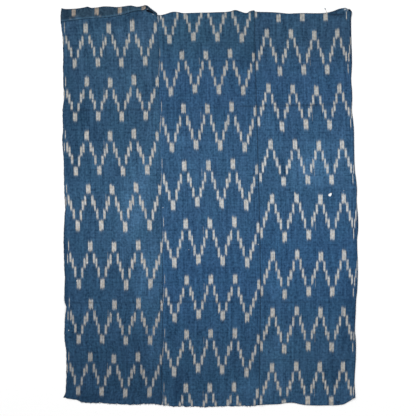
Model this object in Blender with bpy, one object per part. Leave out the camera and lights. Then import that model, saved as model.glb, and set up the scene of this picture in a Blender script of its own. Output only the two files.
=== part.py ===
"""Three loom widths of indigo cotton sewn side by side, lying flat, face up.

Metres, +Z up. The origin is on the surface that the cloth lies on, under the middle of its outline. +Y runs up the
warp to the top edge, and +X to the right edge. The tables are in millimetres.
"""
import math

import bmesh
import bpy

MM = 0.001
THICKNESS = 1.2
LAYER_GAP = 0.3  # between two layers that lie on each other, and between two widths at a seam
LAYER = THICKNESS + LAYER_GAP
ALLOWANCE = 8.0  # cloth turned to the back along a seam or a side hem
HEM = 8.0  # cloth turned to the back along a top or bottom hem
STACK_EDGE = 9.5  # the upper layer lies level as far as this from a turned edge
STACK_FOOT = 26.0  # and has come down to the surface here
SIDE_STEPS = 3  # faces around a turned side edge
END_STEPS = 4  # faces around a turned top or bottom edge
COLUMN_STEP = 37.0  # widest face across a width
ROW_STEP = 52.0  # longest face along a width
FLAP_STEPS = 3
HALF_LENGTH = 650.0
HOLE = {"x": 402.0, "y": 39.5, "length": 13.0, "breadth": 8.0, "turn": 52.0, "taper": 0.45, "corners": 12}
CUT_DEPTH = 20.0

# Sides and seams, top to bottom. Columns: y, x.
LEFT_EDGE = [
    (661, -493), (629, -496), (555, -490), (255, -489), (215, -492), (55, -486), (-12, -482), (-112, -487),
    (-310, -484), (-343, -478), (-380, -483), (-440, -484), (-487, -478), (-590, -479), (-638, -486),
]
SEAM_1 = [
    (640, -172), (469, -170), (288, -167), (98, -163), (-92, -159), (-279, -156), (-463, -158), (-662, -161),
]
SEAM_2 = [
    (654, 150), (496, 152), (305, 157), (115, 163), (-79, 167), (-269, 169), (-453, 167), (-664, 164),
]
RIGHT_EDGE = [
    (649, 473), (556, 473), (489, 476), (429, 473), (322, 475), (255, 482), (155, 483), (55, 492), (-62, 496),
    (-112, 493), (-213, 495), (-340, 488), (-413, 485), (-480, 489), (-593, 484), (-638, 486),
]

# Top and bottom outlines, left to right. Columns: x, y.
TOP_LEFT = [
    (-493, 661), (-445, 660), (-407, 666), (-396, 662), (-352, 667), (-307, 665), (-263, 669), (-242, 666),
    (-210, 670), (-174, 643),
]
TOP_MIDDLE = [
    (-171, 637), (-141, 644), (-124, 649), (-89, 645), (1, 647), (51, 648), (86, 655), (119, 645), (150, 654),
]
TOP_RIGHT = [
    (152, 649), (212, 648), (263, 643), (308, 645), (379, 645), (417, 653), (443, 661), (455, 661), (473, 650),
]
BOTTOM_LEFT = [
    (-486, -638), (-445, -647), (-428, -653), (-404, -656), (-324, -660), (-263, -661), (-162, -662),
]
BOTTOM_MIDDLE = [(-161, -663), (-121, -667), (-28, -670), (68, -667), (135, -666), (164, -664)]
BOTTOM_RIGHT = [
    (165, -663), (233, -660), (255, -656), (280, -656), (316, -663), (363, -665), (447, -661), (485, -639),
]

# The raw edge of the flap on the front of the left width. Columns: x, y.
FLAP_EDGE = [
    (-494, 618), (-411, 627), (-339, 632), (-283, 643), (-242, 651), (-219, 650), (-200, 645), (-174, 632),
]
FLAP_LIFT = [(-494, 0.4), (-300, 0.3), (-240, 1.0), (-205, 2.6), (-174, 2.0)]  # columns: x, spare loop radius

# Lines that the cloth was once folded along, which stand up as low ridges. Columns: y at x = 0, slope, first x,
# last x, height, half width.
CREASES = [
    (331.0, 0.018, -500.0, 500.0, 1.6, 11.0),
    (-320.0, 0.004, -500.0, 500.0, 1.8, 11.0),
    (-511.0, 0.0, 0.0, 500.0, 1.2, 11.0),
]
# Low swells where the cloth is not quite down. Columns: x, y, half length, half breadth, turn in degrees, height.
SWELLS = [
    (-200.0, 185.0, 70.0, 45.0, -35.0, 2.2),
    (-478.0, -345.0, 60.0, 34.0, 90.0, 2.6),
    (455.0, 60.0, 150.0, 42.0, 88.0, 2.2),
    (450.0, -450.0, 95.0, 45.0, 80.0, 2.8),
    (-28.0, -415.0, 70.0, 42.0, 37.0, 2.0),
    (-420.0, -600.0, 75.0, 45.0, 10.0, 2.2),
    (108.0, 485.0, 62.0, 40.0, 0.0, 1.6),
    (440.0, 600.0, 60.0, 40.0, 15.0, 2.4),
]

COLOURS = {
    "panel_left": (0.045, 0.105, 0.185, 1.0),
    "panel_middle": (0.040, 0.100, 0.190, 1.0),
    "panel_right": (0.043, 0.103, 0.190, 1.0),
}


def along(table, station):
    """The table's second column at a station of its first, straight between the rows."""
    rows = sorted(table)
    if station <= rows[0][0]:
        return rows[0][1]
    for (a, low), (b, high) in zip(rows, rows[1:]):
        if station <= b:
            return low + (high - low) * (station - a) / (b - a)
    return rows[-1][1]


def hump(distance, reach):
    """1 at the middle of a ridge, easing down to 0 at its reach."""
    return math.cos(0.5 * math.pi * distance / reach) ** 2 if abs(distance) < reach else 0.0


def lift(x, y):
    """How far the cloth stands off the surface on its creases and swells."""
    height = 0.0
    for y_mid, slope, first, last, ridge, reach in CREASES:
        if first <= x <= last:
            height += ridge * hump(y - y_mid - slope * x, reach)
    for x_mid, y_mid, length, breadth, turn, swell in SWELLS:
        c, s = math.cos(math.radians(turn)), math.sin(math.radians(turn))
        dx, dy = x - x_mid, y - y_mid
        height += swell * hump(math.hypot((c * dx + s * dy) / length, (c * dy - s * dx) / breadth), 1.0)
    return height


def steps(first, last, longest):
    """Even stations between two values, without the last one."""
    count = max(1, math.ceil(abs(last - first) / longest))
    return [first + (last - first) * i / count for i in range(count)]


def turned_side(count):
    """From the cut edge of a turned side to its upper layer. Each station has inset, depth and stack."""
    radius = LAYER / 2
    angles = [math.radians(-90 + 180 * i / count) for i in range(count + 1)]
    curl = [(radius * (1 - math.cos(a)), radius * (1 - math.sin(a)), 1.0) for a in angles]
    return [(ALLOWANCE, LAYER, 1.0)] + curl + [(STACK_EDGE, 0.0, 1.0)]


def plain_side():
    return [(0.0, 0.0, 0.0)]


def columns(left_side, right_side, width):
    """Stations across a width. Each has the side it is measured from, its inset, depth and stack."""
    left = [("left",) + station for station in left_side]
    right = [("right",) + station for station in reversed(right_side)]
    first = STACK_FOOT if len(left_side) > 1 else COLUMN_STEP
    last = width - (STACK_FOOT if len(right_side) > 1 else COLUMN_STEP)
    field = steps(first, last, COLUMN_STEP) + [last]
    return left + [("field", inset / width, 0.0, 0.0) for inset in field] + right


def end_rows(kind, at_top):
    """Rows past the level cloth at one end, from the level cloth outwards."""
    side = 1 if at_top else -1
    if kind == "raw":
        return [{"end": side, "inset": 0.0, "stack": 0.0}]
    if kind == "flap":
        curl = [{"end": side, "turn": -90 + 180 * i / END_STEPS, "over": True} for i in range(END_STEPS + 1)]
        return curl + [{"end": side, "flap": i / FLAP_STEPS, "over": True} for i in range(1, FLAP_STEPS + 1)]
    level = [{"end": side, "inset": STACK_FOOT, "stack": 0.0}, {"end": side, "inset": STACK_EDGE, "stack": 1.0}]
    curl = [{"end": side, "turn": 90 - 180 * i / END_STEPS, "stack": 1.0} for i in range(END_STEPS + 1)]
    return level + curl + [{"end": side, "under": HEM, "stack": 1.0}]


def level_rows(top, bottom):
    """Rows of the level cloth, from the bottom up, as heights at x = 0. Each crease has a row on it and at each foot."""
    marks = [bottom]
    for y_mid, _, _, _, _, reach in sorted(CREASES):
        marks += [y_mid - reach, y_mid, y_mid + reach]
    marks.append(top)
    found = []
    for low, high in zip(marks, marks[1:]):
        found += steps(low, high, ROW_STEP)
    return found[1:]


def row_height(height, x, top, bottom):
    """Bends a level row to the outline's ends and to the creases that run at a slope."""
    table = [(y_mid, y_mid + slope * x) for y_mid, slope, *_ in CREASES]
    reach_top, reach_bottom = along(top, 0.5 * (top[0][0] + top[-1][0])), along(bottom, bottom[0][0])
    return along(table + [(reach_top, along(top, x)), (reach_bottom, along(bottom, x))], height)


class Width:
    """One loom width: its outline, how each edge is finished, and the point of any column and row."""

    def __init__(self, name, left, right, top, bottom, sides, ends, gaps):
        self.name, self.left, self.right, self.top, self.bottom = name, left, right, top, bottom
        self.gap_left, self.gap_right = gaps
        self.width = along(right, 0.0) - along(left, 0.0)
        left_side, right_side = (turned_side(SIDE_STEPS) if turned else plain_side() for turned in sides)
        self.columns = columns(left_side, right_side, self.width)
        top_kind, bottom_kind = ends
        middle = 0.5 * (top[0][0] + top[-1][0])
        level = level_rows(along(top, middle) - STACK_FOOT, along(bottom, middle) + STACK_FOOT)
        rows = list(reversed(end_rows(bottom_kind, False)))
        rows += [{"level": height, "stack": 0.0} for height in level]
        self.rows = rows + end_rows(top_kind, True)

    def across(self, column, y):
        side, station, depth, stack = column
        first = along(self.left, y) + self.gap_left
        last = along(self.right, y) - self.gap_right
        if side == "left":
            return first + station, depth, stack
        if side == "right":
            return last - station, depth, stack
        return first + (last - first) * station, depth, stack

    def point(self, column, row):
        """The place of the middle of the cloth's thickness."""
        guess = row.get("level", row.get("end", 0) * HALF_LENGTH)
        x, depth, stack = self.across(column, guess)
        height, rise = self.up_or_down(row, x, depth, stack)
        x = self.across(column, height)[0]
        layers = stack + row.get("stack", 0.0) * (1 + stack)
        return x, height, THICKNESS / 2 + LAYER * layers + rise + lift(x, height)

    def up_or_down(self, row, x, depth, stack):
        """y of a row at x, and how far above the main layer it lies."""
        if "level" in row:
            return row_height(row["level"], x, self.top, self.bottom), -depth
        end = row["end"]
        outline = along(self.top if end > 0 else self.bottom, x) - end * THICKNESS / 2
        if "inset" in row:
            return outline - end * row["inset"], -depth
        if row.get("over"):
            return self.turned_over(row, x, depth, outline, end)
        radius = LAYER / 2 + LAYER * stack
        if "under" in row:
            return outline - end * row["under"], depth - 2 * radius
        angle = math.radians(row["turn"])
        return (
            outline - end * (radius - (radius - depth) * math.cos(angle)),
            -(radius - (radius - depth) * math.sin(angle)),
        )

    def turned_over(self, row, x, depth, outline, end):
        """The flap on the front, open a little more towards its narrow end."""
        spare = along(FLAP_LIFT, x)
        radius = LAYER / 2 + spare
        fold = outline - end * radius
        if "flap" in row:
            down = row["flap"]
            return fold + (along(FLAP_EDGE, x) - fold) * down, LAYER + 2 * spare * (1 - down) + depth
        angle = math.radians(row["turn"])
        return fold + end * (radius + depth) * math.cos(angle), radius + (radius + depth) * math.sin(angle)

    def build(self):
        across, up = len(self.columns) - 1, len(self.rows) - 1
        grid = bmesh.new()
        bmesh.ops.create_grid(grid, x_segments=across, y_segments=up, size=0.5)
        for vertex in grid.verts:
            column = self.columns[round((vertex.co.x + 0.5) * across)]
            row = self.rows[round((vertex.co.y + 0.5) * up)]
            vertex.co = [MM * value for value in self.point(column, row)]
        bmesh.ops.recalc_face_normals(grid, faces=grid.faces)
        mesh = bpy.data.meshes.new(self.name)
        grid.to_mesh(mesh)
        grid.free()
        cloth = bpy.data.objects.new(self.name, mesh)
        bpy.context.scene.collection.objects.link(cloth)
        solid = cloth.modifiers.new("Thickness", "SOLIDIFY")
        solid.thickness = THICKNESS * MM
        solid.offset = 0.0
        solid.use_even_offset = True
        mesh.materials.append(cloth_material(self.name))
        return cloth


def cloth_material(name):
    material = bpy.data.materials.new(name + "_cotton")
    material.use_nodes = True
    shader = material.node_tree.nodes["Principled BSDF"]
    shader.inputs["Base Color"].default_value = COLOURS[name]
    shader.inputs["Roughness"].default_value = 0.9
    shader.inputs["Metallic"].default_value = 0.0
    return material


def cut_hole(cloth):
    """The moth hole: a round that is drawn out to a point on one side."""
    shape = bmesh.new()
    bmesh.ops.create_cone(
        shape, cap_ends=True, segments=HOLE["corners"], radius1=1.0, radius2=1.0, depth=CUT_DEPTH * MM
    )
    turn = math.radians(HOLE["turn"])
    for vertex in shape.verts:
        x, y = vertex.co.x, vertex.co.y
        long_way = x * HOLE["length"] / 2
        short_way = y * HOLE["breadth"] / 2 * (1 - HOLE["taper"] * x)
        vertex.co.x = MM * (HOLE["x"] + long_way * math.cos(turn) - short_way * math.sin(turn))
        vertex.co.y = MM * (HOLE["y"] + long_way * math.sin(turn) + short_way * math.cos(turn))
    mesh = bpy.data.meshes.new("hole_cutter")
    shape.to_mesh(mesh)
    shape.free()
    cutter = bpy.data.objects.new("hole_cutter", mesh)
    bpy.context.scene.collection.objects.link(cutter)
    cutter.hide_render = True
    cutter.display_type = "WIRE"
    hole = cloth.modifiers.new("Moth hole", "BOOLEAN")
    hole.operation = "DIFFERENCE"
    hole.solver = "EXACT"
    hole.object = cutter


def main():
    for old in list(bpy.context.scene.objects):
        bpy.data.objects.remove(old, do_unlink=True)
    seam, edge = LAYER / 2, THICKNESS / 2
    Width(
        "panel_left", LEFT_EDGE, SEAM_1, TOP_LEFT, BOTTOM_LEFT, (False, True), ("flap", "raw"), (0.0, seam)
    ).build()
    Width(
        "panel_middle", SEAM_1, SEAM_2, TOP_MIDDLE, BOTTOM_MIDDLE, (True, True), ("hem", "raw"), (seam, seam)
    ).build()
    right = Width(
        "panel_right", SEAM_2, RIGHT_EDGE, TOP_RIGHT, BOTTOM_RIGHT, (True, True), ("hem", "hem"), (seam, edge)
    ).build()
    cut_hole(right)


main()
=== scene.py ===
import math
import random

import bmesh
import bpy
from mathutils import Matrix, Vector, noise


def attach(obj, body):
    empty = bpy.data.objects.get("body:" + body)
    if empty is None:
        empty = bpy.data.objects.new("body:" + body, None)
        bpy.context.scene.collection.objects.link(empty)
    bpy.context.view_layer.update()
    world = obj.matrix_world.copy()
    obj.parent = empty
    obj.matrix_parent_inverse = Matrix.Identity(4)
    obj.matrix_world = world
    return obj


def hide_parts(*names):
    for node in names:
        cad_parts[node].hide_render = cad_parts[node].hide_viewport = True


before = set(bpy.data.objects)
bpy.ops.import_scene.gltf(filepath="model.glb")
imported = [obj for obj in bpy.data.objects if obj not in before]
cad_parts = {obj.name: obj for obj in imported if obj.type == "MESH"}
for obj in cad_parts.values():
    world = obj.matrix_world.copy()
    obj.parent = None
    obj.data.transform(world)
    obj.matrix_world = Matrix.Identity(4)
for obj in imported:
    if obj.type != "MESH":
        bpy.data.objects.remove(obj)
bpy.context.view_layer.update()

print("frame loaded:", sorted(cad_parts))

mm = 0.001  # tables and sizes below are in millimetres, from the middle of the cloth: x right, y up the warp
cloth = {
    "thickness": 0.8,
    "layerGap": 0.12,  # between layers that lie on each other
    "seamGap": 0.10,  # between two widths where they are sewn
    "allowance": 8.0,  # turned to the back along seams and side hems
    "hem": 8.0,  # turned to the back along top and bottom hems
    "flap": 33.0,  # the most that is turned over to the front
    "levelTo": 9.5,  # the upper layer lies level this far in from a turned edge
    "downBy": 24.0,  # and is down on the surface here
    "step": 5.6,  # mesh step over the field
    "curlSteps": 6,
    "slack": 0.45,  # height of the small unevenness all over
    "pucker": 0.35,  # height of the puckers beside the seams
    "puckerReach": 26,
    "raggedSide": 1.3,  # how far a raw side wanders in and out
    "raggedEnd": 4.0,  # and a raw bottom
}
layer = cloth["thickness"] + cloth["layerGap"]
halfThick = cloth["thickness"] / 2
# From a side's outline to the mesh, which runs in the middle of the cloth's thickness
gaps = {"raw": 0.0, "hem": halfThick, "seam": halfThick + cloth["seamGap"] / 2}


def at(table, station):
    # the second column of a table at a station of its first, along a smooth line through the rows
    rows = table if table[0][0] < table[-1][0] else table[::-1]
    if station <= rows[0][0]:
        return rows[0][1]
    if station >= rows[-1][0]:
        return rows[-1][1]
    i = next(k for k in range(1, len(rows)) if station <= rows[k][0])
    (x0, y0), (x1, y1) = rows[i - 1], rows[i]
    before, after = rows[max(i - 2, 0)], rows[min(i + 1, len(rows) - 1)]
    span = x1 - x0
    slope0 = (y1 - before[1]) / (x1 - before[0])
    slope1 = (after[1] - y0) / (after[0] - x0)
    t = (station - x0) / span
    return (
        y0 * (1 + 2 * t) * (1 - t) ** 2
        + slope0 * span * t * (1 - t) ** 2
        + y1 * t * t * (3 - 2 * t)
        + slope1 * span * t * t * (t - 1)
    )


def straightAt(table, station):
    # the same, straight between the rows and on past the ends
    rows = sorted(table)
    i = next((k for k in range(1, len(rows) - 1) if station <= rows[k][0]), len(rows) - 1)
    (x0, y0), (x1, y1) = rows[i - 1], rows[i]
    return y0 + (y1 - y0) * (station - x0) / (x1 - x0)


def ease(t):
    t = min(max(t, 0.0), 1.0)
    return t * t * (3 - 2 * t)


def waver(x, y, z):
    # smooth noise around 0
    return noise.noise(Vector((x, y, z)))


def hump(distance, reach):
    return math.cos(0.5 * math.pi * distance / reach) ** 2 if abs(distance) < reach else 0.0


def fromCentre(x, y, ellipse):
    # 0 in the middle of a turned ellipse, 1 on its outline
    x0, y0, length, breadth, turn = ellipse[:5]
    c, s = math.cos(math.radians(turn)), math.sin(math.radians(turn))
    dx, dy = x - x0, y - y0
    return math.hypot((c * dx + s * dy) / length, (c * dy - s * dx) / breadth)


def overEdge(inset):
    # 1 where a turned-under edge lies below, easing down to 0 further in
    return 1 - ease((inset - cloth["levelTo"]) / (cloth["downBy"] - cloth["levelTo"]))


# Sides and seams, top to bottom. Columns: y, x.
leftEdge = [
    (661, -494), (643, -497), (616, -497), (589, -494), (556, -490), (422, -489), (355, -487), (322, -491),
    (255, -489.5), (222, -492), (155, -487.5), (55, -485.5), (21, -483.5), (-12, -482.5), (-46, -485),
    (-112, -487.5), (-179, -486), (-246, -483.5), (-313, -485), (-336, -478), (-348, -479.5),
    (-380, -483.5), (-446, -484.5), (-480, -479), (-547, -478), (-613, -480), (-627, -483), (-638, -488),
]
seamOne = [
    (640, -175), (600, -172.3), (555, -171), (469, -170), (380, -169), (288, -167.3), (98, -163.3),
    (-92, -159), (-279, -155.8), (-372, -156.5), (-463, -158.3), (-560, -159.5), (-662, -161.3),
]
seamTwo = [
    (655, 149.8), (496, 151.8), (400, 154.5), (305, 157.3), (115, 162.7), (-79, 167.3), (-269, 169.4),
    (-360, 168.8), (-453, 167.4), (-560, 166), (-664, 164),
]
rightEdge = [
    (649, 475), (622, 472.3), (556, 473.6), (489, 475.6), (455, 474.6), (422, 472.9), (389, 475.6),
    (355, 476.3), (322, 475), (288, 479.3), (255, 482), (188, 483), (121, 485.3), (88, 489.6), (55, 492.3),
    (21, 491.3), (-12, 494), (-46, 496), (-79, 496), (-112, 492.7), (-213, 495.3), (-279, 493),
    (-313, 489.3), (-346, 488.3), (-413, 485.6), (-446, 488.3), (-480, 489), (-513, 488), (-580, 484.3),
    (-613, 485.6), (-638, 486.4),
]
# Top and bottom outlines, left to right. Columns: x, y.
topLeft = [
    (-494, 661), (-480, 658.5), (-445, 660), (-420, 663.5), (-407, 666.5), (-396, 662.5), (-375, 664),
    (-352, 667.3), (-330, 666.5), (-307, 665), (-285, 667.5), (-263, 670), (-242, 665.8), (-226, 668),
    (-211, 671), (-196, 660), (-173, 642),
]
topMiddle = [
    (-172, 638), (-163, 638), (-150, 641), (-141, 644), (-124, 649), (-106, 648.6), (-89, 645),
    (-60, 645.6), (-32, 646.5), (1, 647), (28, 648), (51, 648.5), (70, 651), (85.5, 655.5), (104, 650),
    (119, 645.3), (128, 646.5), (134, 651), (150, 654.5),
]
topRight = [
    (150, 650), (161, 649), (186, 648.6), (212, 647.8), (237, 645.8), (263, 643.2), (285, 644.2),
    (308, 645), (347, 644.5), (379, 645), (400, 648), (417, 653), (432, 659), (443, 661.3), (455, 662),
    (462, 657.5), (468, 658), (475, 649),
]
bottomLeft = [
    (-488, -638), (-480, -641), (-466, -643), (-445, -646.8), (-428, -653), (-404, -656), (-364, -657),
    (-324, -659.5), (-293, -660.5), (-263, -661.8), (-232, -661), (-202, -660), (-161, -662.3),
]
bottomMiddle = [
    (-161, -662.8), (-141, -665), (-121, -667.5), (-94, -667.2), (-66, -668.2), (-47, -668), (-28, -670.2),
    (8, -668.5), (38, -668), (68, -667), (102, -667), (135, -666.5), (164, -663.8),
]
bottomRight = [
    (165, -663.2), (200, -661.5), (233, -660), (245, -658), (255, -656.2), (280, -655.8), (300, -660),
    (316, -662.8), (340, -664.3), (363, -664.8), (390, -664.3), (418, -664), (440, -662), (449, -660),
    (466, -650.5), (479, -642), (487, -638.5),
]
flapEdge = [
    (-497, 617), (-470, 621), (-442, 624), (-411, 627.5), (-375, 630), (-339, 632.4), (-311, 636.5),
    (-283, 643), (-262, 649.5), (-242, 654), (-226, 655), (-218, 656.5), (-211, 664), (-204, 659.5),
    (-196, 653.5), (-173, 634.5),
]
# How much room there is inside the flap's fold. Columns: x, room.
flapLift = [
    (-497, 0.9), (-440, 0.4), (-330, 0.5), (-265, 0.9), (-232, 1.9), (-211, 3.6), (-195, 3.2), (-173, 2),
]

# Old fold lines across the cloth. Columns: first x and y, last x and y, height, half width, and how dark the
# painted shadow below the ridge is.
creases = [
    (-500, 322, -165, 326, 1, 6, 0.4), (-175, 328, 100, 334, 1.1, 6.5, 0.22),
    (90, 336, 500, 342, 1.4, 6, 0.5), (-500, -321, -165, -319, 1.2, 6.5, 0.3),
    (-175, -317, 120, -317, 1.3, 6, 0.4), (110, -317, 500, -318, 1.3, 6.5, 0.34),
    (-20, -511, 500, -511, 0.8, 6, 0.22), (88, 484, 145, 485, 0.9, 5, 0.35),
    (-49, -433, -4, -400, 1.3, 6, 0.3),
]
foldLines = (-511, -319, 331)  # their heights, where the mesh has more rows
# Places where the cloth is not quite down. Columns: x, y, half length, half breadth, turn, height.
swells = [
    (-205, 190, 62, 9, -62, 1.4), (-188, 176, 50, 9, -62, 1.2), (-200, 185, 70, 45, -35, 1.4),
    (-478, -345, 60, 34, 90, 2.4), (455, 60, 150, 42, 88, 1.8), (450, -450, 95, 45, 80, 2.4),
    (-28, -415, 70, 42, 37, 1.2), (-420, -600, 75, 45, 10, 1.8), (108, 485, 62, 40, 0, 1),
    (440, 600, 60, 40, 15, 2), (424, 646, 36, 7, 4, 1.2), (452, -628, 38, 6, 30, 1.5),
    (440, -640, 34, 6, 30, 1.3), (440, 654, 40, 7, 12, 2.6), (-455, -640, 30, 9, 18, 1.6),
]
troughs = [(450, -455, 62, 9, 79, -1.2), (404, 641, 52, 4, 6, -1.1)]  # the same columns


def creaseShare(crease, x, y, below, reach):
    # 1 on the line of a crease, 0 beyond its reach, fainter at places
    x0, y0, x1, y1 = crease[:4]
    if not x0 <= x <= x1:
        return 0.0
    line = y0 + (y1 - y0) * (x - x0) / (x1 - x0) + 1.6 * waver(x / 38, 0.5, y0) - below
    fade = ease((x - x0) / 14 + 0.5 * (x0 <= -490)) * ease((x1 - x) / 14 + 0.5 * (x1 >= 490))
    return fade * hump(y - line, reach) * (1 + 0.6 * waver(x / 46, y0 / 9, 2.5))


def lift(x, y):
    # how far the cloth stands off the surface
    height = cloth["slack"] * (
        0.65 * (1 + waver(x / 62, y / 85, 3.1)) + 0.35 * (1 + waver(x / 19, y / 24, 8.4))
    )
    for crease in creases:
        height += crease[4] * creaseShare(crease, x, y, 0.0, crease[5])
    for spot in swells + troughs:
        height += spot[5] * hump(fromCentre(x, y, spot), 1.0)
    for seam in (seamOne, seamTwo):  # small puckers beside the stitches
        beside, reach = abs(x - at(seam, y)), cloth["puckerReach"]
        if beside < reach:
            puckered = 1 + waver(seam[0][1], y / 7.5, beside / 30)
            height += cloth["pucker"] * ease(1 - beside / reach) * puckered
    return max(height, 0.0)


def stations(first, last, longest):
    count = max(1, math.ceil(abs(last - first) / longest))
    return [first + (last - first) * i / count for i in range(count)]


def sideStations(turned):
    # inset, depth and distance along the cloth from the fold's crest, from the cut edge to the level cloth
    levels = [0.0, 1.2, 2.8, 5.0, 7.2, cloth["levelTo"], 12.0, 15.0, 18.0, 21.0, cloth["downBy"]]
    if not turned:
        return [(inset, 0.0, inset) for inset in levels]
    radius = layer / 2
    insets = (cloth["allowance"], 5.5, 3.0)
    under = [(inset, layer, radius - math.pi * radius - (inset - radius)) for inset in insets]
    curl = []
    for i in range(cloth["curlSteps"] + 1):
        angle = math.radians(-90 + 180 * i / cloth["curlSteps"])
        travelled = radius - radius * (math.pi / 2 - angle)
        curl.append((radius * (1 - math.cos(angle)), radius * (1 - math.sin(angle)), travelled))
    return under + curl + [(inset, 0.0, inset) for inset in levels[2:]]


def endRows(kind, end):
    # rows at the top (end 1) or bottom (end -1), from the level cloth outwards
    insets = [cloth["downBy"], 20.0, 16.0, 12.5, cloth["levelTo"], 6.5, 4.0]
    rows = [{"inset": inset} for inset in insets + [2.0, 0.9, 0.0] * (kind == "raw")]
    turns = [-90 + 180 * i / 8 for i in range(9)]
    if kind == "flap":
        rows += [{"turn": turn, "over": True} for turn in turns]
        rows += [{"flap": i / 9, "over": True} for i in range(1, 10)]
    elif kind == "hem":
        rows += [{"turn": -turn, "hem": 1.0} for turn in turns]
        rows += [{"under": inset, "hem": 1.0} for inset in (5.0, cloth["hem"])]
    return [{"end": end, **row} for row in rows]


def levelRows(low, high):
    # heights of the rows in between, closer together over each old fold line
    marks = [low]
    for y0 in foldLines:
        marks += [y0 + offset for offset in (-14, -8, -5, -2.5, 0, 2.5, 5, 8, 14)]
    marks.append(high)
    found = []
    for a, b in zip(marks, marks[1:]):
        found += stations(a, b, cloth["step"])
    return found[1:]


class Width:
    # one loom width: every station across meets every row along it

    def __init__(self, spec):
        self.spec = spec
        side = [("left",) + s for s in sideStations(self.turned("left"))]
        other = [("right",) + s for s in reversed(sideStations(self.turned("right")))]
        self.breadth = at(spec["right"], 0.0) - at(spec["left"], 0.0)
        first = cloth["downBy"] / self.breadth
        field = stations(first, 1 - first, cloth["step"] / self.breadth)[1:]
        self.columns = side + [("field", share, 0.0, 0.0) for share in field] + other
        middle = 0.5 * (spec["top"][0][0] + spec["top"][-1][0])
        self.high, self.low = at(spec["top"], middle), at(spec["bottom"], middle)
        heights = levelRows(self.low + cloth["downBy"] + 4, self.high - cloth["downBy"] - 4)
        rows = endRows(spec["ends"][-1], -1)[::-1] + [{"level": y} for y in heights]
        self.rows = rows + endRows(spec["ends"][1], 1)

    def across(self, column, y):
        side, station, depth, along = column
        first = at(self.spec["left"], y) + gaps[self.spec["sides"]["left"]]
        last = at(self.spec["right"], y) - gaps[self.spec["sides"]["right"]]
        if side == "left":
            ragged = 0.0 if depth or self.turned("left") else cloth["raggedSide"] * (1 - ease(station / 3))
            ragged *= waver(0.7, y / 8.3, 2.9)
            return first + station + ragged, depth, first + along, station
        if side == "right":
            return last - station, depth, last - along, station
        x = first + (last - first) * station
        return x, depth, x, min(x - first, last - x)

    def turned(self, side):
        return self.spec["sides"][side] != "raw"

    def stack(self, side, inset, x, y):
        # how far the cloth lies on a turned-under side
        near = []
        if self.turned("left"):
            near.append(x - at(self.spec["left"], y))
        if self.turned("right"):
            near.append(at(self.spec["right"], y) - x)
        if side != "field" and self.turned(side):
            near.append(inset)
        return max([0.0] + [overEdge(distance) for distance in near])

    def place(self, column, row):
        # the point, and where it was on the cloth before it was turned
        guess = row.get("level", self.high if row.get("end", 1) > 0 else self.low)
        x = self.across(column, guess)[0]
        for _ in range(2):
            y = self.along(row, x, 0.0, 0.0)[0]
            x, depth, flatX, inset = self.across(column, y)
        stack = self.stack(column[0], inset, x, y)
        y, rise, flatY = self.along(row, x, depth, stack)
        hem = row.get("hem", 0.0)
        if "inset" in row and self.spec["ends"][row["end"]] == "hem":
            hem = overEdge(row["inset"])
        z = halfThick + layer * (stack + hem * (1 + stack)) + rise + lift(x, y)
        return (x, y, z), (flatX, flatY)

    def along(self, row, x, depth, stack):
        # y at x, height over the main layer, and y before turning
        if "level" in row:
            share = (row["level"] - self.low) / (self.high - self.low)
            top, bottom = at(self.spec["top"], x) - self.high, at(self.spec["bottom"], x) - self.low
            y = row["level"] + top * ease((share - 0.55) / 0.45) + bottom * ease((0.45 - share) / 0.45)
            y += 0.018 * x * hump(row["level"] - foldLines[2], 60)  # the upper fold line slants
            return y, -depth, y
        end = row["end"]
        outline = at(self.spec["top" if end > 0 else "bottom"], x)
        if "inset" in row:
            y = outline - end * row["inset"]
            if self.spec["ends"][end] == "raw":
                y += cloth["raggedEnd"] * (1 - ease(row["inset"] / 4.2)) * waver(x / 8.7, 0.3, 5.1)
            return y, -depth, y
        if row.get("over"):
            return self.over(row, x, depth, outline)
        radius = layer * (0.5 + stack)
        if "under" in row:
            beyond = math.pi * radius + row["under"] - radius
            return outline - end * row["under"], depth - 2 * radius, outline + end * (beyond - radius)
        angle = math.radians(row["turn"])
        return (
            outline - end * (radius - (radius - depth) * math.cos(angle)),
            -(radius - (radius - depth) * math.sin(angle)),
            outline + end * (radius * (math.pi / 2 - angle) - radius),
        )

    def over(self, row, x, depth, outline):
        # the flap turned over to the front
        spare = at(flapLift, x)
        radius = layer / 2 + spare
        crest = outline - radius
        if "flap" in row:
            share = row["flap"]
            reach = min(at(flapEdge, x), crest - 0.5) - crest
            settle = 2 * spare * (1 - 0.75 * share) + 1.3 * ease((share - 0.6) / 0.4)
            return crest + reach * share, layer + settle + depth, crest + math.pi * radius - reach * share
        angle = math.radians(row["turn"])
        y = crest + (radius + depth) * math.cos(angle)
        return y, radius + (radius + depth) * math.sin(angle), crest + radius * (angle + math.pi / 2)


def patternPlace(spec, flatX, flatY):
    # repeats across and rows down, for a place on the flat cloth
    rows = list(enumerate(spec["rows"]))
    down = straightAt([(row[0], i) for i, row in rows], flatY - at(spec["drift"], flatY))
    first, repeat = [straightAt([(i, row[column]) for i, row in rows], down) for column in (1, 2)]
    across = (flatX - first) / repeat
    if "squeezeFrom" in spec and across > spec["squeezeFrom"]:
        across = spec["squeezeFrom"] + (across - spec["squeezeFrom"]) * spec["squeeze"]
    lean = straightAt(spec["lean"], across) * (down - 4) / 3.5
    return across, down - lean


# Soil and painted shadow along a side of a width. Columns: y, strength.
leftShade = [(-660, 1.3), (-560, 1.2), (-480, 0.9), (-200, 1.1), (-20, 1.3), (60, 1), (560, 1), (660, 0.9)]
seamOneShade = [(-660, 0.6), (-300, 0.45), (-50, 0.22), (640, 0.12)]
seamTwoShade = [(-660, 0.95), (640, 0.9)]
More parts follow.
